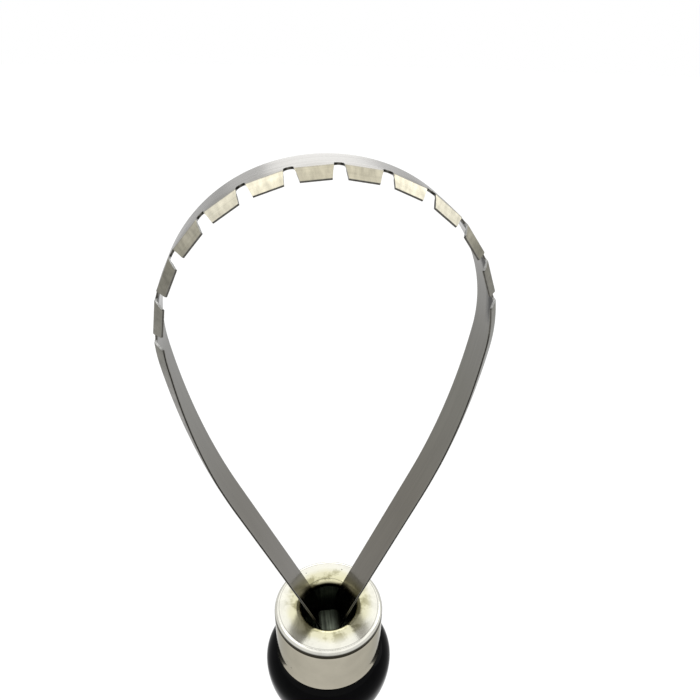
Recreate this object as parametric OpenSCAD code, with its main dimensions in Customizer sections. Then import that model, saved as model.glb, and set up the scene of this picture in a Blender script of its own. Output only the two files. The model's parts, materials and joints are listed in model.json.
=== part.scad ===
// Oil filter wrench: a toothed steel band loop that a turning handle draws in through a ferrule.
// The origin is the centre of the handle's flat butt, Z runs up the handle, and the loop lies in XZ.
// The folded edge of the band, which carries the teeth, faces -Y.

/* [Handle] */
// Length of the handle from its butt to the face under the ferrule
handle_l = 100; // [94:1:120]
// Largest diameter of the upper bulge
bulge_d = 46; // [45:0.2:52]
// Distance of the bulge's widest place below the ferrule
bulge_drop = 7.2; // [6:0.2:9]
// Profile radius of the bulge
bulge_r = 24; // [22:0.5:28]
// Largest diameter of the swelling near the butt
swell_d = 44; // [42:0.5:46]
// Height of the swelling's widest place above the butt
swell_z = 18; // [16:0.5:20]
// Profile radius of the swelling
swell_r = 52; // [48:0.5:58]
// Profile radius of the hollow waist
waist_r = 70; // [64:1:90]
// Rounding where the bulge meets its top face
shoulder_edge_r = 3; // [1.5:0.5:4]
// Rounding round the flat butt
butt_edge_r = 2.5; // [1:0.5:4]

/* [Ferrule] */
// Outside diameter of the ferrule
ferrule_d = 38; // [37:0.5:41]
// Height of the ferrule's mouth above the handle
ferrule_h = 19.8; // [19:0.2:26]
// Thickness of the ferrule's skirt
ferrule_wall = 1.5; // [1:0.1:2]
// Thickness of the ferrule's top and rolled lip
ferrule_top = 1.2; // [0.8:0.1:1.6]
// Diameter of the mouth
mouth_d = 18.4; // [18:0.2:20]
// Rounding of the mouth's lip
lip_r = 2.5; // [1.8:0.1:3]
// Rounding of the ferrule's outer top edge
rim_r = 1.6; // [0.8:0.1:2]

/* [Band] */
// Thickness of the band's steel
band_t = 0.6; // [0.5:0.05:0.8]
// Width of the band's flat
band_w = 12.6; // [11.6:0.2:13]
// Width of the folded flange
flange_w = 3.8; // [2.6:0.1:4.4]
// Angle of the fold
fold_a = 35; // [25:1:45]
// Height of the loop's top above the mouth
loop_h = 151.5; // [142:0.5:165]
// Radius of the loop's crown
crown_r = 45.5; // [43:0.5:50]
// Half angle of the crown
crown_a = 18.5; // [14:0.5:24]
// Radius of the loop's shoulders
shoulder_r = 41.2; // [39:0.2:44]
// Slope of the band where the shoulder ends, from level
shoulder_a = 98; // [94:0.5:102]
// Radius of the easy bend between shoulder and leg
hip_r = 204; // [150:2:240]
// Distance below the loop's top where the flange begins to run out
runout_drop = 42; // [41:1:48]
// Height over which the flange runs out to nothing
runout_h = 46; // [36:1:56]

/* [Notches] */
// Distance from one notch to the next along the band
notch_pitch = 11.05; // [10.5:0.05:11.2]
// Distance of the middle notch to the right of the loop's top
notch_shift = 1.8; // [0:0.2:2.4]
// Number of notches to the left of the middle one
notch_left = 6; // [4:1:6]
// Number of notches to the right of the middle one
notch_right = 5; // [3:1:5]
// Width of a notch at its root
notch_root_w = 2.2; // [1.6:0.1:2.8]
// Width of a notch at the free edge
notch_edge_w = 4; // [3:0.1:5]
// Reach of a notch past the fold into the flat
notch_reach = 2; // [1:0.1:2.6]
// Rounding of the notch's root corners
notch_root_r = 0.7; // [0.3:0.1:0.75]

/* [Draw screw] */
// Diameter of the screw
screw_d = 10; // [9:0.5:11]
// Lead of the screw's thread
screw_lead = 3; // [2:0.5:3]
// Turns of the handle from fully open to fully drawn in
handle_turns = 6; // [4:1:6]
// Thickness of the tang between the band's ends
tang_t = 5; // [4:0.5:5.5]
// Height of the tang
tang_h = 13; // [12:0.5:14]
// Diameter of the rivets
rivet_d = 3.2; // [2.6:0.2:3.6]
// Distance between the two rivets
rivet_pitch = 6.4; // [6:0.2:6.8]
// Thickness of a clamp plate
plate_t = 1.2; // [0.8:0.1:1.5]
// Outside diameter of the stop collar
collar_d = 13.5; // [13:0.5:15]
// Height of the stop collar
collar_h = 5; // [4:0.5:6]
// Diameter of the stop pin
stop_pin_d = 2; // [1.5:0.5:2]

/* [Spindle and nut] */
// Diameter of the journal that the handle turns on
journal_d = 22; // [21.5:0.5:23]
// Wall of the handle bush
bush_wall = 1.95; // [1.6:0.05:2.4]
// Outside diameter of the draw nut
nut_d = 21; // [19.5:0.5:21]
// Height of the draw nut
nut_h = 14; // [12:0.5:15]
// Diameter of a nut key
key_d = 3; // [2:0.5:3.5]
// Thickness of the washers
washer_t = 1.4; // [1:0.1:1.6]
// Wire diameter of the snap ring
ring_d = 1.5; // [1.2:0.1:1.6]

/* [Fits] */
// Radial clearance of journal and screw
run_fit = 0.05; // [0.03:0.01:0.08]
// Clearance of the tang in the spindle's slot, each side
slide_fit = 0.2; // [0.15:0.05:0.3]
// Clearance between faces that turn past each other
face_gap = 0.1; // [0.05:0.05:0.2]
// Clearance of the band's corners in the mouth
mouth_gap = 0.85; // [0.5:0.05:1]

/* [Hidden] */
$fn = 96;

// Heights up the handle's axis
mouth_z = handle_l + ferrule_h;
skirt_z = handle_l + 0.4;
head_z = handle_l + face_gap + washer_t;
head_top_z = mouth_z - lip_r - 0.3;
loop_top_z = mouth_z + loop_h;

// The loop's centre line on the right side: crown, shoulder and hip arcs, then a straight leg to the mouth
mouth_x = sqrt(pow(mouth_d / 2 - mouth_gap, 2) - pow(band_w / 2, 2)) - band_t / 2;
crown_cz = loop_top_z - crown_r;
shoulder_cx = (crown_r - shoulder_r) * sin(crown_a);
shoulder_cz = crown_cz + (crown_r - shoulder_r) * cos(crown_a);
hip_cx = shoulder_cx + (shoulder_r - hip_r) * sin(shoulder_a);
hip_cz = shoulder_cz + (shoulder_r - hip_r) * cos(shoulder_a);
hip_reach = sqrt(pow(mouth_x - hip_cx, 2) + pow(mouth_z - hip_cz, 2));
leg_a = atan2(mouth_x - hip_cx, mouth_z - hip_cz) - acos(hip_r / hip_reach);
leg_l = sqrt(hip_reach * hip_reach - hip_r * hip_r);

// Below the mouth each leg bends back until it lies flat on the tang
strap_x = (tang_t + band_t) / 2;
back_r = (mouth_x - strap_x) / (1 - sin(leg_a));
back_z = mouth_z + back_r * cos(leg_a);
lap = 0.3;
lap_grow = 0.01;

// Draw screw, with the band at its fully open place
travel = handle_turns * screw_lead;
tang_w = band_w + 0.2;
tang_top_z = back_z - 0.6;
tang_z = tang_top_z - tang_h;
rivet_z = tang_z + tang_h / 2;
plate_x = tang_t / 2 + band_t;
plate_h = tang_h - 0.6;
rivet_head_t = 0.8;
rivet_head_d = rivet_d + 2.2;

// Spindle: a bore under the mouth, then the slot that guides the tang
bore_d = mouth_d + 0.8;
bore_z = tang_z + 4.5;
slot_x = plate_x + plate_t + rivet_head_t + 0.5;
slot_y = tang_w / 2 + slide_fit;
spindle_z = tang_z - travel - 1.5;
ring_z = spindle_z + 5;
ring_floor_r = journal_d / 2 - ring_d * 0.6;

// Inside of the handle
bush_bore_d = journal_d + 2 * run_fit;
bush_d = bush_bore_d + 2 * bush_wall;
thrust_z = spindle_z - face_gap - washer_t;
nut_z = thrust_z - nut_h;
key_h = nut_h - 3;
collar_top_z = nut_z - 1;
collar_z = collar_top_z - collar_h;
screw_end_z = collar_z - 2;
well_d = collar_d + 1.5;
well_z = screw_end_z - travel - 2;

// The handle's outline: two round swellings joined by the hollow waist that touches both
bulge_cx = bulge_d / 2 - bulge_r;
bulge_cz = handle_l - bulge_drop;
swell_cx = swell_d / 2 - swell_r;
span_x = bulge_cx - swell_cx;
span_z = bulge_cz - swell_z;
span = sqrt(span_x * span_x + span_z * span_z);
along = (pow(swell_r + waist_r, 2) - pow(bulge_r + waist_r, 2) + span * span) / (2 * span);
across = sqrt(pow(swell_r + waist_r, 2) - along * along);
waist_cx = swell_cx + (along * span_x + across * span_z) / span;
waist_cz = swell_z + (along * span_z - across * span_x) / span;
top_edge_z = handle_l - shoulder_edge_r;
top_edge_x = bulge_cx + sqrt(pow(bulge_r - shoulder_edge_r, 2) - pow(top_edge_z - bulge_cz, 2));
butt_edge_x = swell_cx + sqrt(pow(swell_r - butt_edge_r, 2) - pow(swell_z - butt_edge_r, 2));

// Place and slope on the loop's right side, by distance along the band from the top
crown_len = crown_r * crown_a * PI / 180;
shoulder_len = shoulder_r * (shoulder_a - crown_a) * PI / 180;

function slope(s) =
  s <= crown_len ? s / crown_r * 180 / PI :
  s <= crown_len + shoulder_len ? crown_a + (s - crown_len) / shoulder_r * 180 / PI :
  shoulder_a + (s - crown_len - shoulder_len) / hip_r * 180 / PI;

function loop_x(a) =
  a <= crown_a ? crown_r * sin(a) :
  a <= shoulder_a ? shoulder_cx + shoulder_r * sin(a) :
  hip_cx + hip_r * sin(a);

function loop_z(a) =
  a <= crown_a ? crown_cz + crown_r * cos(a) :
  a <= shoulder_a ? shoulder_cz + shoulder_r * cos(a) :
  hip_cz + hip_r * cos(a);

// Points along an arc, each end included
function arc_points(cx, cz, r, a0, a1, n) =
  [for (i = [0 : n]) [cx + r * cos(a0 + (a1 - a0) * i / n), cz + r * sin(a0 + (a1 - a0) * i / n)]];

// A straight round piece between two heights
module rod(d, z0, z1) {
  translate([0, 0, z0])
    cylinder(d = d, h = z1 - z0);
}

// A round hole's tool, a little longer than its depth at both ends
module drill(d, z0, z1) {
  rod(d, z0 - 0.5, z1 + 0.5);
}

module both_sides() {
  children();
  mirror([1, 0, 0])
    children();
}

// Ferrule: a drawn cap whose mouth is rolled inward
module ferrule_section() {
  half = ferrule_d / 2;
  inside = half - ferrule_wall;
  lip_x = mouth_d / 2 + lip_r;
  lip_z = mouth_z - lip_r;
  polygon(concat(
    [[half, skirt_z]],
    arc_points(half - rim_r, mouth_z - rim_r, rim_r, 0, 90, 8),
    arc_points(lip_x, lip_z, lip_r, 90, 180, 10),
    arc_points(lip_x, lip_z, lip_r - ferrule_top, 180, 90, 6),
    [[inside, mouth_z - ferrule_top], [inside, skirt_z]]
  ));
}

module ferrule() {
  color([0.86, 0.85, 0.78])
    rotate_extrude()
      ferrule_section();
}

// Spindle: head under the ferrule, journal in the handle, slot for the tang
module spindle() {
  color([0.55, 0.55, 0.53])
    difference() {
      union() {
        rod(ferrule_d - 2 * ferrule_wall, head_z, head_top_z);
        rod(journal_d, spindle_z, head_z);
      }
      drill(bore_d, bore_z, head_top_z);
      translate([-slot_x, -slot_y, spindle_z - 1])
        cube([2 * slot_x, 2 * slot_y, bore_z - spindle_z + 2]);
      translate([0, 0, ring_z - ring_d / 2 - 0.1])
        difference() {
          cylinder(d = journal_d + 2, h = ring_d + 0.2);
          translate([0, 0, -1])
            cylinder(r = ring_floor_r, h = ring_d + 3);
        }
    }
}

module seat_washer() {
  color([0.35, 0.22, 0.14])
    difference() {
      rod(ferrule_d - 2 * ferrule_wall - 1, handle_l + face_gap, head_z);
      drill(journal_d + 0.6, handle_l, head_z);
    }
}

// Snap ring: split wire ring in the journal's groove
module snap_ring() {
  color([0.7, 0.7, 0.72])
    translate([0, 0, ring_z])
      rotate([0, 0, 15])
        rotate_extrude(angle = 330)
          translate([ring_floor_r + ring_d / 2, 0])
            circle(d = ring_d, $fn = 24);
}

// Handle: turned outline from the butt up, stepped bore from above
module handle_section() {
  butt_a = atan2(butt_edge_r - swell_z, butt_edge_x - swell_cx);
  swell_a = atan2(waist_cz - swell_z, waist_cx - swell_cx);
  bulge_a = atan2(waist_cz - bulge_cz, waist_cx - bulge_cx);
  top_a = atan2(top_edge_z - bulge_cz, top_edge_x - bulge_cx);
  polygon(concat(
    [[0, 0]],
    arc_points(butt_edge_x, butt_edge_r, butt_edge_r, -90, butt_a, 6),
    arc_points(swell_cx, swell_z, swell_r, butt_a + 4, swell_a - 4, 12),
    arc_points(waist_cx, waist_cz, waist_r, swell_a + 180, bulge_a + 180, 18),
    arc_points(bulge_cx, bulge_cz, bulge_r, bulge_a + 3, top_a - 3, 9),
    arc_points(top_edge_x, top_edge_z, shoulder_edge_r, top_a, 90, 8),
    [[0, handle_l]]
  ));
}

module handle() {
  color([0.03, 0.03, 0.03])
    difference() {
      rotate_extrude()
        handle_section();
      drill(bush_d, spindle_z, handle_l);
      drill(nut_d, nut_z + 0.5, handle_l);
      drill(well_d, well_z + 0.5, handle_l);
      nut_key_pair();
    }
}

module handle_bush() {
  color([0.72, 0.55, 0.3])
    difference() {
      rod(bush_d, spindle_z, handle_l - 0.2);
      drill(bush_bore_d, spindle_z, handle_l);
      rod(2 * (ring_floor_r + ring_d) + 0.5, ring_z - ring_d / 2 - 0.2, ring_z + ring_d / 2 + 0.2);
    }
}

module thrust_washer() {
  color([0.7, 0.6, 0.35])
    difference() {
      rod(nut_d - 0.6, thrust_z, thrust_z + washer_t);
      drill(screw_d + 1, thrust_z, thrust_z + washer_t);
    }
}

module nut_key_pair() {
  both_sides()
    translate([nut_d / 2, 0, 0])
      rod(key_d, thrust_z - key_h, thrust_z);
}

module draw_nut() {
  color([0.8, 0.65, 0.25])
    difference() {
      rod(nut_d, nut_z, thrust_z);
      drill(screw_d + 2 * run_fit, nut_z, thrust_z);
      nut_key_pair();
    }
}

module nut_keys() {
  color([0.6, 0.6, 0.6])
    nut_key_pair();
}

// The two rivets' holes and shanks lie across the tang
module rivet_bars(d, half) {
  for (side = [-1, 1])
    translate([-half, 0, rivet_z + side * rivet_pitch / 2])
      rotate([0, 90, 0])
        cylinder(d = d, h = 2 * half, $fn = 48);
}

module stop_pin_bar(extra) {
  translate([0, -collar_d / 2 - extra, collar_z + collar_h / 2])
    rotate([-90, 0, 0])
      cylinder(d = stop_pin_d, h = collar_d + 2 * extra, $fn = 32);
}

module draw_screw() {
  color([0.62, 0.62, 0.6])
    difference() {
      union() {
        translate([-tang_t / 2, -tang_w / 2, tang_z])
          cube([tang_t, tang_w, tang_h]);
        rod(screw_d, screw_end_z, tang_z);
      }
      rivet_bars(rivet_d, tang_t);
      stop_pin_bar(1);
    }
}

// Cross section of the band: x is outward from the loop, y is towards the folded edge
module band_section(grow = 0) {
  half = band_t / 2 + grow;
  miter = half * tan(fold_a / 2);
  reach = flange_w + grow;
  tip = [-reach * sin(fold_a), band_w / 2 + reach * cos(fold_a)];
  out = half * [cos(fold_a), sin(fold_a)];
  far = -band_w / 2 - grow;
  polygon([[half, far], [half, band_w / 2 + miter], tip + out, tip - out,
    [-half, band_w / 2 - miter], [-half, far]]);
}

// An arc of folded band round a centre, between two slopes
module band_arc(cx, cz, r, a0, a1, grow = 0) {
  translate([cx, 0, cz])
    rotate([90, 0, 0])
      rotate([0, 0, 90 - a1])
        rotate_extrude(angle = a1 - a0)
          translate([r, 0])
            band_section(grow);
}

// The leg's lower end: it bends back to upright and runs down beside the tang
module band_end() {
  translate([mouth_x + back_r * sin(leg_a), 0, back_z])
    rotate([90, 0, 0])
      rotate([0, 0, 270 - leg_a])
        rotate_extrude(angle = leg_a - 90)
          translate([back_r - band_t / 2 - lap_grow, -band_w / 2 - lap_grow])
            square([band_t + 2 * lap_grow, band_w + 2 * lap_grow]);
  translate([tang_t / 2, -band_w / 2, tang_z])
    cube([band_t, band_w, back_z + lap - tang_z]);
}

// A straight stretch of folded band that runs down the leg to the mouth
module band_leg() {
  translate([mouth_x, 0, mouth_z])
    rotate([0, leg_a - 90, 0])
      rotate([180, 0, 0])
        translate([0, 0, -leg_l - lap])
          linear_extrude(height = leg_l + 2 * lap)
            band_section();
}

// Each stretch of the loop is lapped into its neighbour, which is a hair thicker
module band_strip() {
  shoulder_lap = lap / shoulder_r * 180 / PI;
  band_arc(0, crown_cz, crown_r, -crown_a, crown_a, lap_grow);
  both_sides() {
    band_arc(shoulder_cx, shoulder_cz, shoulder_r, crown_a - shoulder_lap, shoulder_a + shoulder_lap);
    band_arc(hip_cx, hip_cz, hip_r, shoulder_a, leg_a, lap_grow);
    band_leg();
    band_end();
  }
}

// Below the last teeth the flange is cut away along a slant
module runout_cut() {
  z1 = loop_top_z - runout_drop;
  edge_y = band_w / 2;
  reach = flange_w * cos(fold_a) + band_t;
  translate([-loop_h, 0, 0])
    rotate([90, 0, 90])
      linear_extrude(height = 2 * loop_h)
        polygon([[-edge_y - reach, z1], [-edge_y, z1 - runout_h], [-edge_y, tang_z - 1],
          [-edge_y - 2 * reach, tang_z - 1], [-edge_y - 2 * reach, z1]]);
}

// A notch: open at the free edge, with flanks that close in to a rounded root
module notch_outline() {
  edge_y = -band_w / 2 - flange_w * cos(fold_a);
  root_y = -band_w / 2 + notch_reach;
  side = notch_root_w / 2 - notch_root_r;
  flare = (notch_edge_w - notch_root_w) / (root_y - notch_root_r - edge_y);
  mouth_w = notch_edge_w + flare;
  polygon([[-mouth_w / 2, edge_y - 1], [mouth_w / 2, edge_y - 1],
    [notch_root_w / 2, root_y - notch_root_r], [-notch_root_w / 2, root_y - notch_root_r]]);
  translate([-side, root_y - 2 * notch_root_r])
    square([2 * side, 2 * notch_root_r]);
  for (end = [-side, side])
    translate([end, root_y - notch_root_r])
      circle(r = notch_root_r, $fn = 32);
}

module notch_cut(s) {
  a = slope(s);
  translate([loop_x(a), 0, loop_z(a)])
    rotate([0, a, 0])
      translate([0, 0, -flange_w - 1])
        linear_extrude(height = flange_w + 3)
          notch_outline();
}

module toothed_band() {
  color([0.8, 0.8, 0.77])
    difference() {
      union() {
        band_strip();
      }
      runout_cut();
      for (i = [0 : notch_right])
        notch_cut(notch_shift + i * notch_pitch);
      mirror([1, 0, 0])
        for (i = [1 : notch_left])
          notch_cut(i * notch_pitch - notch_shift);
      rivet_bars(rivet_d, tang_t);
    }
}

module clamp_plate() {
  color([0.66, 0.66, 0.64])
    difference() {
      translate([plate_x, -band_w / 2 + 0.5, rivet_z - plate_h / 2])
        cube([plate_t, band_w - 1, plate_h]);
      rivet_bars(rivet_d, 2 * tang_t);
    }
}

module left_clamp_plate() {
  mirror([1, 0, 0])
    clamp_plate();
}

module right_clamp_plate() {
  clamp_plate();
}

module band_rivets() {
  half = plate_x + plate_t;
  color([0.75, 0.75, 0.74])
    union() {
      rivet_bars(rivet_d, half);
      both_sides()
        for (side = [-1, 1])
          translate([half, 0, rivet_z + side * rivet_pitch / 2])
            rotate([0, 90, 0])
              cylinder(d = rivet_head_d, h = rivet_head_t, $fn = 48);
    }
}

module stop_collar() {
  color([0.6, 0.6, 0.6])
    difference() {
      rod(collar_d, collar_z, collar_top_z);
      drill(screw_d, collar_z, collar_top_z);
      stop_pin_bar(1);
    }
}

module stop_pin() {
  color([0.7, 0.7, 0.7])
    stop_pin_bar(0);
}

ferrule();
spindle();
seat_washer();
snap_ring();
handle();
handle_bush();
thrust_washer();
draw_nut();
nut_keys();
draw_screw();
toothed_band();
left_clamp_plate();
right_clamp_plate();
band_rivets();
stop_collar();
stop_pin();
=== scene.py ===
import json
import math

import bmesh
import bpy
from bpy.props import FloatProperty, FloatVectorProperty, IntProperty, PointerProperty
from mathutils import Matrix, Vector


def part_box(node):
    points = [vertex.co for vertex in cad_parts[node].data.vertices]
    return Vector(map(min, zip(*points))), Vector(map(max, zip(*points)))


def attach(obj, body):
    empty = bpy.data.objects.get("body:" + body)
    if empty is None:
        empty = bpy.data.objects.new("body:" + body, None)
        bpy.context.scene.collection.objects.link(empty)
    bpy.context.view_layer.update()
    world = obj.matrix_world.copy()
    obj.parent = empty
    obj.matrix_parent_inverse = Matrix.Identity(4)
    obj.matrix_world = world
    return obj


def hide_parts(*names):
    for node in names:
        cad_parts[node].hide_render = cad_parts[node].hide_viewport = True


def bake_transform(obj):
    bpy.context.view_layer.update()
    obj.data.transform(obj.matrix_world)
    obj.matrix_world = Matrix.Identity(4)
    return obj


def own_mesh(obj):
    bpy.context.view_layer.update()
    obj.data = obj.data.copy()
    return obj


bl_info = {
    "name": "Oil Filter Wrench",
    "version": (1, 0, 0),
    "blender": (4, 5, 0),
    "location": "View3D > Sidebar > Filter Wrench",
    "description": "Builds a band wrench with a toothed steel loop, a plated ferrule and a black handle",
    "category": "Object",
}

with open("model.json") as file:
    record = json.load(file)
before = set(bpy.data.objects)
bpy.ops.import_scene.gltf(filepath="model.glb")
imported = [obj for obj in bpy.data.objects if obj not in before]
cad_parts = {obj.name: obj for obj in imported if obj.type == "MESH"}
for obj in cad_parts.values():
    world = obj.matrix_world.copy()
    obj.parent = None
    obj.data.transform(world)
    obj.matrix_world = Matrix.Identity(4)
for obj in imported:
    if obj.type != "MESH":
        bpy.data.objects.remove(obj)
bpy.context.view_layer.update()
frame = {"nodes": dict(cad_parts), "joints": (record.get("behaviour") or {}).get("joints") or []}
MM = 0.001

# Heights and widths that the packed solids already fix
MOUTH_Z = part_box("ferrule")[1].z
SKIRT_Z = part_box("ferrule")[0].z
FERRULE_D = 2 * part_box("ferrule")[1].x
HANDLE_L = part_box("handle")[1].z
BAND_TOP_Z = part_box("toothed_band")[1].z
BAND_END_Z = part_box("toothed_band")[0].z
# The clamp plates lie on the band's ends, so their inner faces say where the ends are
TANG_END_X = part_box("right_clamp_plate")[0].x
BUSH_D = 2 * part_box("handle_bush")[1].x
BUSH_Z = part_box("handle_bush")[0].z
WASHER_D = 2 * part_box("thrust_washer")[1].x
NUT_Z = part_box("draw_nut")[0].z
COLLAR_D = 2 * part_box("stop_collar")[1].x
SCREW_END_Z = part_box("draw_screw")[0].z
DRAW = next(joint for joint in frame["joints"] if joint["name"] == "band_draw")
TRAVEL = max(DRAW["range_m"])


def length(name, description, millimetres):
    """A length that is given in millimetres and kept in metres."""
    return FloatProperty(
        name=name, description=description, default=millimetres * MM, precision=5, unit="LENGTH"
    )


def angle(name, description, degrees):
    """An angle that is given in degrees and kept in radians."""
    return FloatProperty(
        name=name, description=description, default=math.radians(degrees), subtype="ANGLE"
    )


def colour(name, description, red, green, blue):
    """A colour by its linear parts."""
    return FloatVectorProperty(
        name=name,
        description=description,
        default=(red, green, blue),
        size=3,
        min=0,
        max=1,
        subtype="COLOR",
    )


class BandSizes(bpy.types.PropertyGroup):
    """Sizes of the folded and notched band."""

    thickness: length("Thickness", "Thickness of the band's steel", 0.6)
    flat_w: length("Flat width", "Width of the band's flat", 12.6)
    flange_w: length("Flange width", "Width of the folded flange", 3.8)
    fold_a: angle("Fold angle", "Angle between the flat and the flange", 35)
    fold_r: length("Fold radius", "Radius of the fold at mid thickness", 0.5)
    crown_r: length("Crown radius", "Radius of the loop's crown", 45.5)
    crown_a: angle("Crown angle", "Half angle of the loop's crown", 18.5)
    shoulder_r: length("Shoulder radius", "Radius of the loop's shoulders", 41.2)
    shoulder_a: angle("Shoulder slope", "Slope of the band where the shoulder ends", 98)
    hip_r: length("Hip radius", "Radius of the easy bend above the legs", 204)
    mouth_x: length("Mouth place", "Place of the band beside the axis, in the mouth", 5.1804)
    runout_drop: length("Run-out drop", "Drop below the top where the flange begins to run out", 42)
    runout_h: length("Run-out height", "Height over which the flange runs out", 46)
    notch_pitch: length("Notch pitch", "Distance from notch to notch", 11.05)
    notch_shift: length("Notch shift", "Place of the middle notch right of the loop's top", 1.8)
    notch_left: IntProperty(name="Notches left", description="Notches left of the middle one", default=6)
    notch_right: IntProperty(name="Notches right", description="Notches right of the middle one", default=5)
    root_w: length("Root width", "Width of a notch at its root", 2.2)
    edge_w: length("Edge width", "Width of a notch at the free edge", 4)
    reach: length("Notch reach", "Reach of a notch past the fold into the flat", 2)
    root_r: length("Root rounding", "Rounding of the notch's root corners", 1.0)


class FerruleSizes(bpy.types.PropertyGroup):
    """Sizes of the drawn cap that the band runs into."""

    mouth_d: length("Mouth", "Diameter of the mouth", 18.4)
    lip_r: length("Lip", "Rounding of the rolled mouth", 2.5)
    rim_r: length("Rim", "Rounding of the outer top edge", 1.6)
    wall: length("Wall", "Thickness of the skirt", 1.5)
    top_t: length("Top", "Thickness of the top and the rolled lip", 1.2)
    hem_r: length("Hem", "Rounding of the skirt's lower edge", 0.3)
    flare: length("Flare", "How far the skirt's lower edge turns outward", 0.22)
    flare_h: length("Flare height", "Height over which the skirt turns outward", 3.6)
    line_w: length("Line width", "Width of the fine line that is rolled under the rim", 1.0)
    line_depth: length("Line depth", "Depth of the fine line under the rim", 0.12)


class HandleSizes(bpy.types.PropertyGroup):
    """Sizes of the turned handle."""

    bulge_d: length("Bulge", "Largest diameter of the upper bulge", 46)
    bulge_drop: length("Bulge drop", "Drop of the bulge's widest place below the ferrule", 7.2)
    bulge_r: length("Bulge profile", "Profile radius of the bulge", 24)
    swell_d: length("Swelling", "Largest diameter near the butt", 44)
    swell_z: length("Swelling height", "Height of the swelling's widest place", 18)
    swell_r: length("Swelling profile", "Profile radius of the swelling", 52)
    waist_r: length("Waist profile", "Profile radius of the hollow waist", 70)
    shoulder_edge_r: length("Shoulder edge", "Rounding of the top edge", 7)
    butt_edge_r: length("Butt edge", "Rounding round the flat butt", 2.5)
    nut_play: length("Nut play", "How much wider the nut's room is than the thrust washer", 0.6)
    well_play: length("Well play", "How much wider the well is than the stop collar", 1.5)
    well_drop: length("Well drop", "Room below the screw when the band is drawn in", 2)


class Finishes(bpy.types.PropertyGroup):
    """Colours of the wrench's surfaces."""

    # A painted highlight on the cut flanks of the side notches
    notch_flank_glint: colour("Notch edge", "Bright sheared flanks of the side notches", 0.6, 0.6, 0.58)
    # The cut edges of the teeth, the notch roots and the legs are dark as painted shade
    tooth_edge_shade: colour("Tooth edge", "Dull cut edge of the teeth and the notch roots", 0.09, 0.085, 0.075)
    leg_edge_shade: colour("Leg edge", "Dark cut edge of the legs", 0.03, 0.028, 0.025)
    # The corners of the cut edges are lighter
    pale_edge_corner: colour("Worn corner", "Steel rubbed bright beside the cut edges", 0.22, 0.215, 0.195)
    nickel_patch: colour("Nickel patches", "Olive patches of worn plating", 0.19, 0.175, 0.085)
    # The skirt's plating is a darker copy of the top's, as painted shade
    nickel_skirt_shade: colour("Nickel skirt", "Plating on the ferrule's skirt", 0.43, 0.4, 0.325)
    # Painted shade in the fine line under the rim
    line_shade: colour("Line dirt", "Dark dirt in the fine line under the rim", 0.012, 0.01, 0.004)
    black: colour("Handle black", "Gloss black of the handle", 0.0015, 0.0015, 0.002)
    # Its darkness is partly painted shade in the mouth
    dark_steel_and_shade: colour("Oiled steel", "Dark oiled steel inside the mouth", 0.16, 0.18, 0.14)
    plain_steel: colour("Plain steel", "Turned steel of the small hidden pieces", 0.5, 0.5, 0.48)
    brass: colour("Brass", "Brass of the bush, the washer and the nut", 0.72, 0.5, 0.18)
    fibre: colour("Fibre", "Brown fibre of the seat washer", 0.16, 0.075, 0.04)


class StageSizes(bpy.types.PropertyGroup):
    """Camera, floor and the light from all round."""

    eye: FloatVectorProperty(
        name="Eye",
        description="Place of the camera",
        default=(-14.41 * MM, -133.75 * MM, 296.73 * MM),
        size=3,
        subtype="TRANSLATION",
    )
    turn: angle("Turn", "Turn of the view round the upright, from straight ahead", -8.62)
    rise: angle("Rise", "Height of the eye over the level of what it looks at", 28.98)
    roll: angle("Roll", "Tilt of the camera about its own line of sight", 1.13)
    lens: FloatProperty(
        name="Lens",
        description="Focal length on a sensor of the stated width",
        default=29.58,
        subtype="DISTANCE_CAMERA",
    )
    sensor: FloatProperty(
        name="Sensor", description="Width of the sensor", default=36, subtype="DISTANCE_CAMERA"
    )
    floor_r: length("Floor", "Radius of the floor", 6000)
    floor_colour: colour("Floor colour", "Pale colour of the floor", 0.5, 0.5, 0.5)
    floor_lift: FloatProperty(
        name="Floor lift", description="Glow that makes the lit floor white where it is seen", default=0.54
    )
    fill: FloatProperty(name="Fill", description="Strength of the light from all round", default=0.35)


# Node trees

class Wiring:
    """Adds nodes to a tree, and is called w below."""

    def __init__(self, tree):
        self.tree = tree

    def add(self, kind, inputs=None, **settings):
        """A new node. An input given as a socket is linked, and any other is set."""
        made = self.tree.nodes.new(kind)
        for name, value in settings.items():
            setattr(made, name, value)
        for key, value in (inputs or {}).items():
            if isinstance(value, bpy.types.NodeSocket):
                self.tree.links.new(value, made.inputs[key])
            else:
                made.inputs[key].default_value = value
        return made

    def math(self, operation, *values):
        """The result of a sum with values."""
        return self.add("ShaderNodeMath", dict(enumerate(values)), operation=operation).outputs[0]

    def vector(self, operation, *values):
        """The result of a sum with vectors."""
        return self.add("ShaderNodeVectorMath", dict(enumerate(values)), operation=operation).outputs[0]

    def scaled(self, direction, amount):
        """A direction times an amount."""
        made = self.add("ShaderNodeVectorMath", {0: direction, "Scale": amount}, operation="SCALE")
        return made.outputs[0]


def new_tree(name, inputs):
    """An empty Geometry Nodes tree with its named inputs, and its wiring."""
    tree = bpy.data.node_groups.new(name, "GeometryNodeTree")
    tree.is_modifier = True
    tree.interface.new_socket(name="Geometry", in_out="INPUT", socket_type="NodeSocketGeometry")
    for label, kind, _ in inputs:
        tree.interface.new_socket(name=label, in_out="INPUT", socket_type="NodeSocket" + kind)
    tree.interface.new_socket(name="Geometry", in_out="OUTPUT", socket_type="NodeSocketGeometry")
    wiring = Wiring(tree)
    return tree, wiring, wiring.add("NodeGroupInput").outputs


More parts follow.
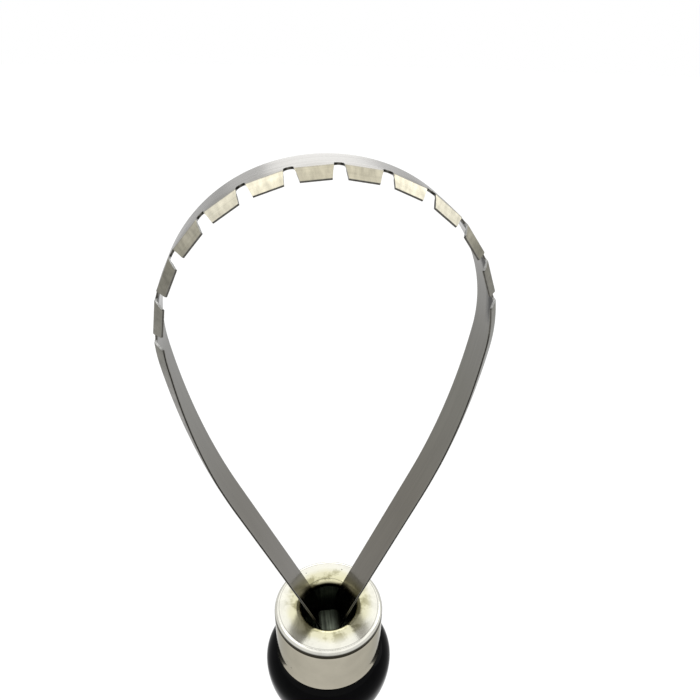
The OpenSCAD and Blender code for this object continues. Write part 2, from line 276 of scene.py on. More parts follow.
# Inputs of the band's tree, each with its kind and the size in BandSizes that it takes, if it takes one
BAND_INPUTS = [
    ("Loop path", "Object", None),
    ("Path to top", "Float", None),
    ("Run-out top", "Float", None),
    ("Run-out height", "Float", "runout_h"),
    ("Thickness", "Float", "thickness"),
    ("Flat width", "Float", "flat_w"),
    ("Flange width", "Float", "flange_w"),
    ("Fold angle", "Float", "fold_a"),
    ("Fold radius", "Float", "fold_r"),
    ("Notch pitch", "Float", "notch_pitch"),
    ("Notch shift", "Float", "notch_shift"),
    ("Notches left", "Int", "notch_left"),
    ("Notches right", "Int", "notch_right"),
    ("Root width", "Float", "root_w"),
    ("Edge width", "Float", "edge_w"),
    ("Notch reach", "Float", "reach"),
    ("Root rounding", "Float", "root_r"),
    ("Steel", "Material", None),
]
# How far from a tooth's middle its chord meets the curve, as a share of the notch pitch
CHORD_SHARE = 0.35


def path_sample(w, path, distance):
    """Place and heading on a curve at a distance from its start."""
    return w.add(
        "GeometryNodeSampleCurve",
        {"Curves": path.outputs["Geometry"], "Length": distance},
        mode="LENGTH",
        use_all_curves=True,
    ).outputs


def blended(w, share, first, second):
    """A vector that goes from the first to the second as share goes from 0 to 1."""
    made = w.add("ShaderNodeMix", data_type="VECTOR")
    for socket, value in ((0, share), (4, first), (5, second)):
        w.tree.links.new(value, made.inputs[socket])
    return made.outputs[1]


def notched_reach(w, given, along):
    """How far across the strip the notches let the steel reach."""
    from_middle = w.math("SUBTRACT", along, given["Notch shift"])
    count = w.math("ROUND", w.math("DIVIDE", from_middle, given["Notch pitch"]))
    count = w.math("MAXIMUM", count, w.math("MULTIPLY", given["Notches left"], -1))
    count = w.math("MINIMUM", count, given["Notches right"])
    beside = w.math("SUBTRACT", from_middle, w.math("MULTIPLY", count, given["Notch pitch"]))
    beside = w.math("ABSOLUTE", beside)
    half_root = w.math("MULTIPLY", given["Root width"], 0.5)
    half_edge = w.math("MULTIPLY", given["Edge width"], 0.5)
    free_edge = w.math("ADD", given["Flat width"], given["Flange width"])
    root = w.math("SUBTRACT", given["Flat width"], given["Notch reach"])
    flank_foot = w.math("ADD", root, given["Root rounding"])
    into_corner = w.math("SUBTRACT", beside, w.math("SUBTRACT", half_root, given["Root rounding"]))
    into_corner = w.math("MAXIMUM", into_corner, 0)
    square = w.math("POWER", given["Root rounding"], 2)
    square = w.math("SUBTRACT", square, w.math("POWER", into_corner, 2))
    round_root = w.math("SUBTRACT", flank_foot, w.math("SQRT", w.math("MAXIMUM", square, 0)))
    flank_h = w.math("SUBTRACT", free_edge, flank_foot)
    steepness = w.math("DIVIDE", flank_h, w.math("SUBTRACT", half_edge, half_root))
    flank = w.math("MULTIPLY_ADD", w.math("SUBTRACT", beside, half_root), steepness, flank_foot)
    in_root = w.math("LESS_THAN", beside, half_root)
    return w.math("MULTIPLY_ADD", w.math("SUBTRACT", round_root, flank), in_root, flank)


def runout_reach(w, given, height):
    """How far across the strip the flange reaches, which gets narrower down the legs until it is gone."""
    down = w.math("DIVIDE", w.math("SUBTRACT", given["Run-out top"], height), given["Run-out height"])
    slack = w.math("DIVIDE", given["Thickness"], w.math("COSINE", given["Fold angle"]))
    whole = w.math("ADD", given["Flange width"], slack)
    left_over = w.math("MULTIPLY", whole, w.math("SUBTRACT", 1, down))
    return w.math("ADD", given["Flat width"], w.math("MAXIMUM", left_over, 0))


def folded(w, given, reach, fold_start):
    """How far inward and sideways the flat, the fold's arc and the slanted flange bring a place."""
    into_fold = w.math("SUBTRACT", reach, fold_start)
    bend = w.math("DIVIDE", into_fold, given["Fold radius"])
    bend = w.math("MINIMUM", w.math("MAXIMUM", bend, 0), given["Fold angle"])
    fold_l = w.math("MULTIPLY", given["Fold radius"], given["Fold angle"])
    past_fold = w.math("MAXIMUM", w.math("SUBTRACT", into_fold, fold_l), 0)
    inward = w.math("MULTIPLY", given["Fold radius"], w.math("SUBTRACT", 1, w.math("COSINE", bend)))
    inward = w.math("MULTIPLY_ADD", past_fold, w.math("SINE", given["Fold angle"]), inward)
    sideways = w.math("MINIMUM", reach, fold_start)
    sideways = w.math("SUBTRACT", sideways, w.math("MULTIPLY", given["Flat width"], 0.5))
    sideways = w.math("MULTIPLY_ADD", given["Fold radius"], w.math("SINE", bend), sideways)
    sideways = w.math("MULTIPLY_ADD", past_fold, w.math("COSINE", given["Fold angle"]), sideways)
    return inward, sideways


def tooth_chord(w, given, path, along):
    """Place and heading on the straight line of the tooth, and 1 where there is a tooth."""
    from_middle = w.math("SUBTRACT", along, given["Notch shift"])
    tooth = w.math("FLOOR", w.math("DIVIDE", from_middle, given["Notch pitch"]))
    middle = w.math("MULTIPLY_ADD", w.math("ADD", tooth, 0.5), given["Notch pitch"], given["Notch shift"])
    half_chord = w.math("MULTIPLY", given["Notch pitch"], CHORD_SHARE)
    ends = []
    for side in ("SUBTRACT", "ADD"):
        end_place = w.math("ADD", w.math(side, middle, half_chord), given["Path to top"])
        ends.append(path_sample(w, path, end_place)["Position"])
    heading = w.vector("NORMALIZE", w.vector("SUBTRACT", ends[1], ends[0]))
    from_left = w.math("SUBTRACT", along, w.math("SUBTRACT", middle, half_chord))
    place = w.vector("ADD", ends[0], w.scaled(heading, from_left))
    before_first = w.math("MULTIPLY_ADD", given["Notches left"], -1, -0.5)
    last = w.math("SUBTRACT", given["Notches right"], 0.5)
    is_tooth = w.math("GREATER_THAN", tooth, before_first)
    is_tooth = w.math("MULTIPLY", is_tooth, w.math("LESS_THAN", tooth, last))
    return place, heading, is_tooth


def band_tree():
    """Cuts the notches and the run-out in a flat strip, folds its edge and bends it along the loop path.

    In the strip x is the distance along the band from the loop's top, and y the one from its plain edge.
    """
    tree, w, given = new_tree("band_along_loop", BAND_INPUTS)
    spot = w.add("ShaderNodeSeparateXYZ", {0: w.add("GeometryNodeInputPosition").outputs[0]}).outputs
    along, across = spot[0], spot[1]
    path = w.add("GeometryNodeObjectInfo", {"Object": given["Loop path"]}, transform_space="ORIGINAL")
    on_path = path_sample(w, path, w.math("ADD", along, given["Path to top"]))
    height = w.add("ShaderNodeSeparateXYZ", {0: on_path["Position"]}).outputs[2]
    reach = w.math("MINIMUM", across, notched_reach(w, given, along))
    reach = w.math("MINIMUM", reach, runout_reach(w, given, height))
    half_turn = w.math("TANGENT", w.math("MULTIPLY", given["Fold angle"], 0.5))
    setback = w.math("MULTIPLY", given["Fold radius"], half_turn)
    fold_start = w.math("SUBTRACT", given["Flat width"], setback)
    inward, sideways = folded(w, given, reach, fold_start)

    # From the notch roots to the fold each tooth leaves the curve for its chord
    chord_place, chord_heading, is_tooth = tooth_chord(w, given, path, along)
    root = w.math("SUBTRACT", given["Flat width"], given["Notch reach"])
    straight = w.math("DIVIDE", w.math("SUBTRACT", reach, root), w.math("SUBTRACT", fold_start, root))
    straight = w.math("MULTIPLY", w.math("MINIMUM", w.math("MAXIMUM", straight, 0), 1), is_tooth)
    line = blended(w, straight, on_path["Position"], chord_place)
    heading = w.vector("NORMALIZE", blended(w, straight, on_path["Tangent"], chord_heading))
    outward = w.vector("CROSS_PRODUCT", heading, (0, 1, 0))
    place = w.vector("SUBTRACT", line, w.scaled(outward, inward))
    place = w.vector("SUBTRACT", place, w.scaled((0, 1, 0), sideways))

    marked = w.add(
        "GeometryNodeStoreNamedAttribute",
        {
            "Geometry": given["Geometry"],
            "Name": "band_place",
            "Value": w.add("ShaderNodeCombineXYZ", {0: along, 1: reach}).outputs[0],
        },
        data_type="FLOAT_VECTOR",
        domain="POINT",
    )
    moved = w.add("GeometryNodeSetPosition", {"Geometry": marked.outputs[0], "Position": place})
    joined = w.add("GeometryNodeMergeByDistance", {"Geometry": moved.outputs[0], "Distance": 0.02 * MM})
    real = w.add("GeometryNodeRealizeInstances", {"Geometry": joined.outputs[0]})
    finished = w.add("GeometryNodeSetMaterial", {"Geometry": real.outputs[0], "Material": given["Steel"]})
    w.add("NodeGroupOutput", {"Geometry": finished.outputs[0]})
    return tree


# Materials

def new_material(name):
    """A material with a Principled shader, its wiring and the shader."""
    material = bpy.data.materials.get(name)
    if material:
        bpy.data.materials.remove(material)
    material = bpy.data.materials.new(name)
    material.use_nodes = True
    shader = material.node_tree.nodes["Principled BSDF"]
    return material, Wiring(material.node_tree), shader


def stretched_noise(w, place, scale, detail):
    """Noise from 0 to 1, with as many grains to the metre along each axis as the scale says."""
    mapped = w.add("ShaderNodeMapping", {"Vector": place, "Scale": scale})
    noise = w.add("ShaderNodeTexNoise", {"Vector": mapped.outputs[0], "Scale": 1.0, "Detail": detail})
    return spread(w, noise.outputs[0], 0.3, 0.7)


def spread(w, value, start, end):
    """A value that goes from 0 at start to 1 at end and stays there."""
    made = w.add("ShaderNodeMapRange", {0: value, 1: start, 2: end, 3: 0.0, 4: 1.0})
    return made.outputs[0]


def mixed(w, amount, first, second):
    """A colour between two others. Each is a colour or a socket."""
    made = w.add("ShaderNodeMix", {0: amount}, data_type="RGBA")
    for socket, value in ((6, first), (7, second)):
        if isinstance(value, bpy.types.NodeSocket):
            w.tree.links.new(value, made.inputs[socket])
        else:
            made.inputs[socket].default_value = (*value, 1)
    return made.outputs[2]


def shaded(w, base, darker, amount):
    """A colour that goes from base towards a darker share of itself where amount is high."""
    return mixed(w, amount, base, [part * darker for part in base])


def multiplied(w, base, amount):
    """A colour socket times a value."""
    made = w.add("ShaderNodeMix", {0: 1.0, 6: base, 7: amount}, data_type="RGBA", blend_type="MULTIPLY")
    return made.outputs[2]


def tones(w, distance, stops):
    """Colours along a distance, from stops of a distance in millimetres and a colour. The first is at 0."""
    far = stops[-1][0]
    made = w.add("ShaderNodeValToRGB", {0: w.math("DIVIDE", distance, far * MM)})
    points = made.color_ramp.elements
    points[0].color = (*stops[0][1], 1)
    points[1].color = (*stops[-1][1], 1)
    for millimetres, tone in stops[1:-1]:
        points.new(millimetres / far).color = (*tone, 1)
    return made.outputs[0]


def bump(w, shader, height, strength, depth):
    """Fine relief that follows a height."""
    made = w.add("ShaderNodeBump", {"Height": height, "Strength": strength, "Distance": depth})
    w.tree.links.new(made.outputs[0], shader.inputs["Normal"])


def strip_place(w):
    """Place on the strip, and its distances from the loop's top, the plain edge and the outer face."""
    place = w.add("ShaderNodeAttribute", attribute_name="band_place").outputs["Vector"]
    along, across, depth = w.add("ShaderNodeSeparateXYZ", {0: place}).outputs
    return place, w.math("ABSOLUTE", along), across, depth


def teeth_end(sizes):
    """Distance along the band from the loop's top to the far side of the last notch."""
    return sizes.notch_left * sizes.notch_pitch - sizes.notch_shift + sizes.edge_w / 2


# Tones of the band's steel, each at a distance in millimetres from the loop's top. They paint light and
# shade along the loop: the outside lighter at the crown, the outer flange darker on the shoulders, the
# inside darker under the crown.
OUTER_FLAT_SHADING = [
    (0, (0.32, 0.31, 0.29)),
    (30, (0.32, 0.31, 0.29)),
    (45, (0.28, 0.27, 0.25)),
    (70, (0.28, 0.27, 0.25)),
]
OUTER_FLANGE_SHADING = [
    (0, (0.4, 0.37, 0.28)),
    (30, (0.39, 0.37, 0.3)),
    (38, (0.37, 0.35, 0.28)),
    (42, (0.25, 0.24, 0.19)),
    (48, (0.21, 0.2, 0.165)),
    (70, (0.21, 0.205, 0.18)),
    (84, (0.31, 0.3, 0.28)),
    (105, (0.39, 0.38, 0.36)),
]
INNER_FLANGE = [
    (0, (0.19, 0.185, 0.17)),
    (70, (0.21, 0.2, 0.185)),
]
INNER_FACE_SHADING = [
    (0, (0.09, 0.085, 0.07)),
    (39, (0.09, 0.085, 0.07)),
    (47, (0.13, 0.12, 0.1)),
    (54, (0.19, 0.185, 0.17)),
    (62, (0.21, 0.205, 0.19)),
    (75, (0.18, 0.175, 0.16)),
    (90, (0.165, 0.16, 0.14)),
    (135, (0.15, 0.14, 0.12)),
    (190, (0.15, 0.14, 0.12)),
]
# Painted shade on the inner face behind the teeth: how far it reaches from the fold, fades there and laps
# onto the flange
SHADE_W = 6.1 * MM
SHADE_FADE = 3 * MM
SHADE_LAP = 1 * MM
# Distances from the loop's top between which the painted highlight on the notch flanks comes in
FLANK_DULL = 26 * MM
FLANK_BRIGHT = 30 * MM


def band_steel(name, sizes, flat, flange, rough, shade_cover, glance):
    """Strip steel with fine grain along it, scuffs on the flange and painted shade behind the teeth.

    The flat and the flange have tones of their own, which paint light and shade along the loop. Rough is the
    least and the most roughness, the next argument how much of the steel the painted shade hides, and glance
    the grey of light that grazes the steel.
    """
    material, w, shader = new_material(name)
    place, from_top, across, _ = strip_place(w)
    lines = stretched_noise(w, place, (45, 2600, 1), 4)
    streaks = stretched_noise(w, place, (12, 420, 1), 3)
    clouds = stretched_noise(w, place, (60, 120, 1), 3)
    scuffs = stretched_noise(w, place, (800, 250, 1), 3)
    fold = sizes.flat_w
    on_flange = spread(w, across, fold - 0.2 * MM, fold + 0.2 * MM)
    base = mixed(w, on_flange, tones(w, from_top, flat), tones(w, from_top, flange))
    worn = w.math("MULTIPLY_ADD", lines, 0.5, w.math("MULTIPLY", streaks, 0.3))
    worn = w.math("MULTIPLY_ADD", clouds, 0.2, worn)
    clean = w.math("MULTIPLY_ADD", worn, -0.25, 1.1)
    scuffed = w.math("MULTIPLY", w.math("SUBTRACT", scuffs, 0.5), on_flange)
    clean = w.math("MULTIPLY_ADD", scuffed, 0.34, clean)
    # Painted shade behind the teeth: the inner face near the fold is darker, duller and not metal there
    teeth_shade = spread(w, across, fold - SHADE_W, fold - SHADE_W + SHADE_FADE)
    teeth_shade = w.math("MULTIPLY", teeth_shade, spread(w, across, fold + SHADE_LAP, fold + 0.2 * MM))
    last = teeth_end(sizes)
    teeth_shade = w.math("MULTIPLY", teeth_shade, spread(w, from_top, last + 0.5 * MM, last - 3.5 * MM))
    teeth_shade = w.math("MULTIPLY", teeth_shade, shade_cover)
    bare = w.math("SUBTRACT", 1, teeth_shade)
    w.tree.links.new(multiplied(w, base, w.math("MULTIPLY", clean, bare)), shader.inputs["Base Color"])
    if shade_cover > 0:
        w.tree.links.new(bare, shader.inputs["Metallic"])
    else:
        shader.inputs["Metallic"].default_value = 1
    roughness = w.math("MULTIPLY_ADD", streaks, rough[1] - rough[0], rough[0])
    roughness = w.math("MULTIPLY_ADD", teeth_shade, 0.5, roughness)
    w.tree.links.new(roughness, shader.inputs["Roughness"])
    shader.inputs["Specular Tint"].default_value = (glance, glance, glance, 1)
    bump(w, shader, lines, 0.2, 0.01 * MM)
    return material


def sheared_edge(name, finishes, sizes):
    """The strip's cut edges: a painted highlight on the flanks of the side notches, painted shade elsewhere,
    and lighter corners.
    """
    material, w, shader = new_material(name)
    place, from_top, across, depth = strip_place(w)
    lines = stretched_noise(w, place, (1500, 1500, 1), 3)
    last = teeth_end(sizes)
    on_leg = spread(w, from_top, last - 0.5 * MM, last + 1.5 * MM)
    base = mixed(w, on_leg, finishes.tooth_edge_shade, finishes.leg_edge_shade)
    from_core = w.math("ABSOLUTE", w.math("SUBTRACT", depth, sizes.thickness / 2))
    corner = spread(w, from_core, 0.2 * sizes.thickness, 0.32 * sizes.thickness)
    # The corners of the cut edges are lighter
    base = mixed(w, corner, base, finishes.pale_edge_corner)

    # A painted highlight lies on each flank, between the notch's root and the free edge, on the notches
    # beside the crown
    root = sizes.flat_w - sizes.reach
    free_edge = sizes.flat_w + sizes.flange_w
    flank = spread(w, across, root + 0.6 * MM, root + 1.2 * MM)
    flank = w.math("MULTIPLY", flank, spread(w, across, free_edge - 0.2 * MM, free_edge - 0.6 * MM))
    flank = w.math("MULTIPLY", flank, spread(w, from_top, FLANK_DULL, FLANK_BRIGHT))
    flank = w.math("MULTIPLY", flank, w.math("SUBTRACT", 1, on_leg))
    base = mixed(w, flank, base, finishes.notch_flank_glint)
    worn = w.math("MULTIPLY_ADD", lines, -0.3, 1)
    w.tree.links.new(multiplied(w, base, worn), shader.inputs["Base Color"])
    w.tree.links.new(w.math("MULTIPLY_ADD", flank, 0.2, 0.3), shader.inputs["Roughness"])
    bump(w, shader, lines, 0.1, 0.01 * MM)
    shader.inputs["Metallic"].default_value = 1
    return material


def band_steels(finishes, sizes):
    """Materials of the band's outer face, inner face and cut edges, in that order."""
    return [
        band_steel("band_bright_outside", sizes, OUTER_FLAT_SHADING, OUTER_FLANGE_SHADING, (0.2, 0.3), 0, 0.65),
        band_steel("band_brushed_inside", sizes, INNER_FACE_SHADING, INNER_FLANGE, (0.08, 0.16), 0.85, 0.75),
        sheared_edge("band_sheared_edge", finishes, sizes),
    ]


# Tones of the plating on the ferrule's top, each at a distance in millimetres from its axis. They paint
# light and shade: darker and yellower towards the mouth, a pale ring outside.
MOUTH_SHADING = [
    (0, (0.49, 0.46, 0.3)),
    (9.2, (0.49, 0.46, 0.3)),
    (11.5, (0.54, 0.52, 0.36)),
    (13.5, (0.56, 0.54, 0.4)),
    (15.5, (0.63, 0.62, 0.54)),
    (19, (0.63, 0.62, 0.57)),
]


def nickel_plate(name, finishes, sizes):
    """Bright plating with painted light and shade: a pale ring on top, darker towards the mouth and on the
    skirt, and painted shade under the rim. Olive patches lie round the mouth.
    """
    material, w, shader = new_material(name)
    place = w.add("ShaderNodeTexCoord").outputs["Object"]
    x, y, height = w.add("ShaderNodeSeparateXYZ", {0: place}).outputs
    from_axis = w.math("SQRT", w.math("MULTIPLY_ADD", x, x, w.math("MULTIPLY", y, y)))
    clouds = stretched_noise(w, place, (170, 170, 170), 4)
    patches = spread(w, stretched_noise(w, place, (240, 240, 240), 3), 0.5, 0.75)
    wavy = w.math("MULTIPLY_ADD", clouds, 1.2 * MM, w.math("SUBTRACT", from_axis, 0.6 * MM))
    base = tones(w, wavy, MOUTH_SHADING)
    near_mouth = spread(w, from_axis, 16 * MM, 12.5 * MM)
    stained = w.math("MULTIPLY", patches, w.math("MULTIPLY_ADD", near_mouth, 0.6, 0.08))
    base = mixed(w, stained, base, finishes.nickel_patch)
    rim_z = MOUTH_Z - sizes.rim_r
    # The skirt gets the darker copy of the plating as painted shade
    on_skirt = spread(w, height, rim_z + 0.3 * MM, rim_z - 0.3 * MM)
    base = mixed(w, on_skirt, base, finishes.nickel_skirt_shade)

    # Painted shade lies in the fine line, and less of it in a ring where the flat top meets the rim
    line_z = rim_z - sizes.line_w
    groove_shade = spread(w, height, rim_z + 0.8 * MM, rim_z + 0.3 * MM)
    groove_shade = w.math("MULTIPLY", groove_shade, spread(w, height, line_z - 0.2 * MM, line_z))
    from_ring = w.math("ABSOLUTE", w.math("SUBTRACT", from_axis, FERRULE_D / 2 - sizes.rim_r))
    groove_shade = w.math("MAXIMUM", groove_shade, w.math("MULTIPLY", spread(w, from_ring, 0.16 * MM, 0.06 * MM), 0.4))
    base = mixed(w, w.math("MULTIPLY", groove_shade, 0.96), base, finishes.line_shade)

    pits = w.add("ShaderNodeTexVoronoi", {"Vector": place, "Scale": 330.0}).outputs["Distance"]
    few = stretched_noise(w, place, (260, 260, 260), 1)
    pit = w.math("MULTIPLY", w.math("LESS_THAN", pits, 0.09), w.math("GREATER_THAN", few, 0.72))
    worn = w.math("MULTIPLY_ADD", clouds, -0.1, w.math("MULTIPLY_ADD", pit, -0.6, 1.03))
    w.tree.links.new(multiplied(w, base, worn), shader.inputs["Base Color"])
    roughness = w.math("MULTIPLY_ADD", clouds, 0.03, w.math("MULTIPLY_ADD", on_skirt, -0.12, 0.16))
    w.tree.links.new(roughness, shader.inputs["Roughness"])
    bump(w, shader, w.math("SUBTRACT", clouds, pit), 0.06, 0.15 * MM)
    shader.inputs["Metallic"].default_value = 1
    shader.inputs["Specular Tint"].default_value = (0.6, 0.6, 0.58, 1)
    return material


def gloss_black(name, base):
    """Polished black with a faint orange peel and fine rubbing marks."""
    material, w, shader = new_material(name)
    place = w.add("ShaderNodeTexCoord").outputs["Object"]
    peel = stretched_noise(w, place, (420, 420, 420), 2)
    rubs = stretched_noise(w, place, (900, 900, 60), 4)
    w.tree.links.new(shaded(w, base, 0.5, peel), shader.inputs["Base Color"])
    w.tree.links.new(w.math("MULTIPLY_ADD", rubs, 0.06, 0.04), shader.inputs["Roughness"])
    bump(w, shader, peel, 0.05, 0.05 * MM)
    shader.inputs["Specular IOR Level"].default_value = 0.04
    return material


def lined_metal(name, base, rough, darker, grain):
    """Metal with fine lines. The grain says how close they lie along each axis."""
    material, w, shader = new_material(name)
    place = w.add("ShaderNodeTexCoord").outputs["Object"]
    lines = stretched_noise(w, place, grain, 3)
    clouds = stretched_noise(w, place, (200, 200, 200), 3)
    tone = w.math("MULTIPLY_ADD", lines, 0.6, w.math("MULTIPLY", clouds, 0.4))
    w.tree.links.new(shaded(w, base, darker, tone), shader.inputs["Base Color"])
    w.tree.links.new(w.math("MULTIPLY_ADD", clouds, 0.15, rough), shader.inputs["Roughness"])
    bump(w, shader, lines, 0.15, 0.02 * MM)
    shader.inputs["Metallic"].default_value = 1
    return material


def pressed_fibre(name, base):
    """Dull board with fine fibres."""
    material, w, shader = new_material(name)
    place = w.add("ShaderNodeTexCoord").outputs["Object"]
    fibres = stretched_noise(w, place, (900, 900, 2400), 5)
    w.tree.links.new(shaded(w, base, 0.5, fibres), shader.inputs["Base Color"])
    w.tree.links.new(w.math("MULTIPLY_ADD", fibres, 0.2, 0.7), shader.inputs["Roughness"])
    bump(w, shader, fibres, 0.4, 0.05 * MM)
    return material


# Meshes

def arc(cx, cz, r, start, end, steps):
    """Points along an arc, each end included, with angles in degrees."""
    turns = [math.radians(start + (end - start) * i / steps) for i in range(steps + 1)]
    return [(cx + r * math.cos(t), cz + r * math.sin(t)) for t in turns]


def new_object(name, data):
    """An object in the scene with this mesh, curve, lamp or camera."""
    made = bpy.data.objects.new(name, data)
    bpy.context.scene.collection.objects.link(made)
    return made


def turned(name, outline, steps):
    """A closed outline of radius and height, turned round the Z axis."""
    shape = bmesh.new()
    rings = []
    for radius, height in outline:
        if radius < 1e-7:
            rings.append([shape.verts.new((0, 0, height))] * steps)
            continue
        spots = [2 * math.pi * i / steps for i in range(steps)]
        rings.append(
            [shape.verts.new((radius * math.cos(t), radius * math.sin(t), height)) for t in spots]
        )
    for ring, after in zip(rings, rings[1:] + rings[:1]):
        for i in range(steps):
            k = (i + 1) % steps
            corners = list(dict.fromkeys([ring[i], ring[k], after[k], after[i]]))
            if len(corners) > 2:
                shape.faces.new(corners)
    bmesh.ops.recalc_face_normals(shape, faces=shape.faces)
    mesh = bpy.data.meshes.new(name)
    shape.to_mesh(mesh)
    shape.free()
    return new_object(name, mesh)


def smooth(mesh, degrees):
    """Smooth shading, with a sharp edge wherever the surface turns by more than this."""
    mesh.shade_smooth()
    mesh.set_sharp_from_angle(angle=math.radians(degrees))


def half_path(sizes):
    """Centre line of the band's right half from the top to its end, and its length down to the mouth."""
    crown_cz = BAND_TOP_Z - sizes.thickness / 2 - sizes.crown_r
    step = sizes.crown_r - sizes.shoulder_r
    shoulder_cx = step * math.sin(sizes.crown_a)
    shoulder_cz = crown_cz + step * math.cos(sizes.crown_a)
    step = sizes.shoulder_r - sizes.hip_r
    hip_cx = shoulder_cx + step * math.sin(sizes.shoulder_a)
    hip_cz = shoulder_cz + step * math.cos(sizes.shoulder_a)
    reach = math.hypot(sizes.mouth_x - hip_cx, MOUTH_Z - hip_cz)
    leg_a = math.atan2(sizes.mouth_x - hip_cx, MOUTH_Z - hip_cz) - math.acos(sizes.hip_r / reach)
    strap_x = TANG_END_X - sizes.thickness / 2
    back_r = (sizes.mouth_x - strap_x) / (1 - math.sin(leg_a))
    back_cx = sizes.mouth_x + back_r * math.sin(leg_a)
    back_cz = MOUTH_Z + back_r * math.cos(leg_a)

    def from_level(slope):
        return 90 - math.degrees(slope)

    points = arc(0, crown_cz, sizes.crown_r, 90, from_level(sizes.crown_a), 24)
    points += arc(
        shoulder_cx, shoulder_cz, sizes.shoulder_r,
        from_level(sizes.crown_a), from_level(sizes.shoulder_a), 90,
    )[1:]
    points += arc(hip_cx, hip_cz, sizes.hip_r, from_level(sizes.shoulder_a), from_level(leg_a), 60)[1:]
    end_of_hip = points[-1]
    leg = [i / 20 for i in range(1, 21)]
    points += [
        (end_of_hip[0] + (sizes.mouth_x - end_of_hip[0]) * t, end_of_hip[1] + (MOUTH_Z - end_of_hip[1]) * t)
        for t in leg
    ]
    to_mouth = sum(math.dist(a, b) for a, b in zip(points, points[1:]))
    points += arc(back_cx, back_cz, back_r, from_level(leg_a) + 180, 180, 24)[1:]
    points += [(strap_x, BAND_END_Z)]
    return points, to_mouth


def path_object(sizes):
    """The loop's centre line as one open curve from the left end to the right end, and its measures."""
    right, to_mouth = half_path(sizes)
    whole = [(-x, z) for x, z in reversed(right[1:])] + right
    curve = bpy.data.curves.new("loop_path", "CURVE")
    curve.dimensions = "3D"
    spline = curve.splines.new("POLY")
    spline.points.add(len(whole) - 1)
    for point, (x, z) in zip(spline.points, whole):
        point.co = (x, 0, z, 1)
    to_end = sum(math.dist(a, b) for a, b in zip(right, right[1:]))
    return new_object("loop_path", curve), to_mouth, to_end


def strip_rows(sizes):
    """Places across the flat strip: even on the flat, close in the fold, even on the flange."""
    start = sizes.flat_w - sizes.fold_r * math.tan(sizes.fold_a / 2)
    fold = sizes.fold_r * sizes.fold_a
    edge = sizes.flat_w + sizes.flange_w
    flat = [start * i / 8 for i in range(8)]
    bend = [start + fold * i / 5 for i in range(5)]
    return flat + bend + [start + fold + (edge - start - fold) * i / 5 for i in range(6)]


def loop_columns(sizes, to_mouth):
    """Places along the loop: close at each notch, even on the teeth and down the legs."""
    side = sizes.root_w / 2 - sizes.root_r
    corner = [side + sizes.root_r * math.sin(math.radians(a)) for a in (0, 22.5, 45, 67.5, 90)]
    flank = [sizes.root_w / 2 + (sizes.edge_w - sizes.root_w) / 2 * i / 6 for i in range(1, 7)]
    beside = corner + flank
    middles = [
        sizes.notch_shift + i * sizes.notch_pitch for i in range(-sizes.notch_left, sizes.notch_right + 1)
    ]
    columns = []
    for middle in middles:
        columns += [middle - d for d in reversed(beside)] + [middle + d for d in beside]
    tooth = sizes.notch_pitch - sizes.edge_w
    for middle in middles[:-1]:
        columns += [middle + sizes.edge_w / 2 + tooth * i / 8 for i in range(1, 8)]
    low, high = min(columns), max(columns)
    for start, end in ((low, -to_mouth), (high, to_mouth)):
        count = int(abs(end - start) / (1.6 * MM))
        columns += [start + (end - start) * i / count for i in range(1, count + 1)]
    return sorted(columns)


def strip_mesh(name, islands, rows):
    """A flat strip for each list of columns, facing down, so that the bent band faces outward."""
    spots, faces = [], []
    for columns in islands:
        first = len(spots)
        spots += [(s, v, 0) for s in columns for v in rows]
        count = len(rows)
        for i in range(len(columns) - 1):
            for j in range(count - 1):
                a = first + i * count + j
                faces.append((a, a + 1, a + count + 1, a + count))
    mesh = bpy.data.meshes.new(name)
    mesh.from_pydata(spots, [], faces)
    return mesh


def mark_depth(mesh, thickness):
    """Writes the depth under the outer face into the strip's place. The inner face is the second half."""
    spots = mesh.attributes["band_place"].data
    for spot in spots[len(spots) // 2:]:
        spot.vector.z = thickness


def bend_strip(name, flat, sizes, path, to_end, steels):
    """The bent, notched and folded strip as a plain mesh with its thickness."""
    for steel in steels:
        flat.materials.append(steel)
    piece = new_object(name, flat)
    modifier = piece.modifiers.new("band_along_loop", "NODES")
    modifier.node_group = bpy.data.node_groups.get("band_along_loop") or band_tree()
    values = {label: getattr(sizes, size) for label, _, size in BAND_INPUTS if size}
    values["Loop path"] = path
    values["Path to top"] = to_end
    values["Run-out top"] = BAND_TOP_Z - sizes.thickness / 2 - sizes.runout_drop
    values["Steel"] = steels[0]
    for socket in modifier.node_group.interface.items_tree:
        if socket.name in values:
            modifier[socket.identifier] = values[socket.name]
    wall = piece.modifiers.new("thickness", "SOLIDIFY")
    wall.thickness = sizes.thickness
    wall.offset = 0
    wall.use_even_offset = True
    wall.use_quality_normals = True
    wall.material_offset = 1
    wall.material_offset_rim = 2
    bpy.context.view_layer.update()
    evaluated = piece.evaluated_get(bpy.context.evaluated_depsgraph_get())
    mesh = bpy.data.meshes.new_from_object(evaluated)
    mesh.name = name
    mark_depth(mesh, sizes.thickness)
    piece.modifiers.clear()
    piece.data = mesh
    bpy.data.meshes.remove(flat)
    smooth(mesh, 35)
    if len(mesh.polygons) < 100:
        raise RuntimeError(f"{name} has no surface")
    return piece


def remove_piece(name):
    """Removes what an earlier run left under this name."""
    old = bpy.data.objects.get(name)
    if old:
        bpy.data.objects.remove(old)


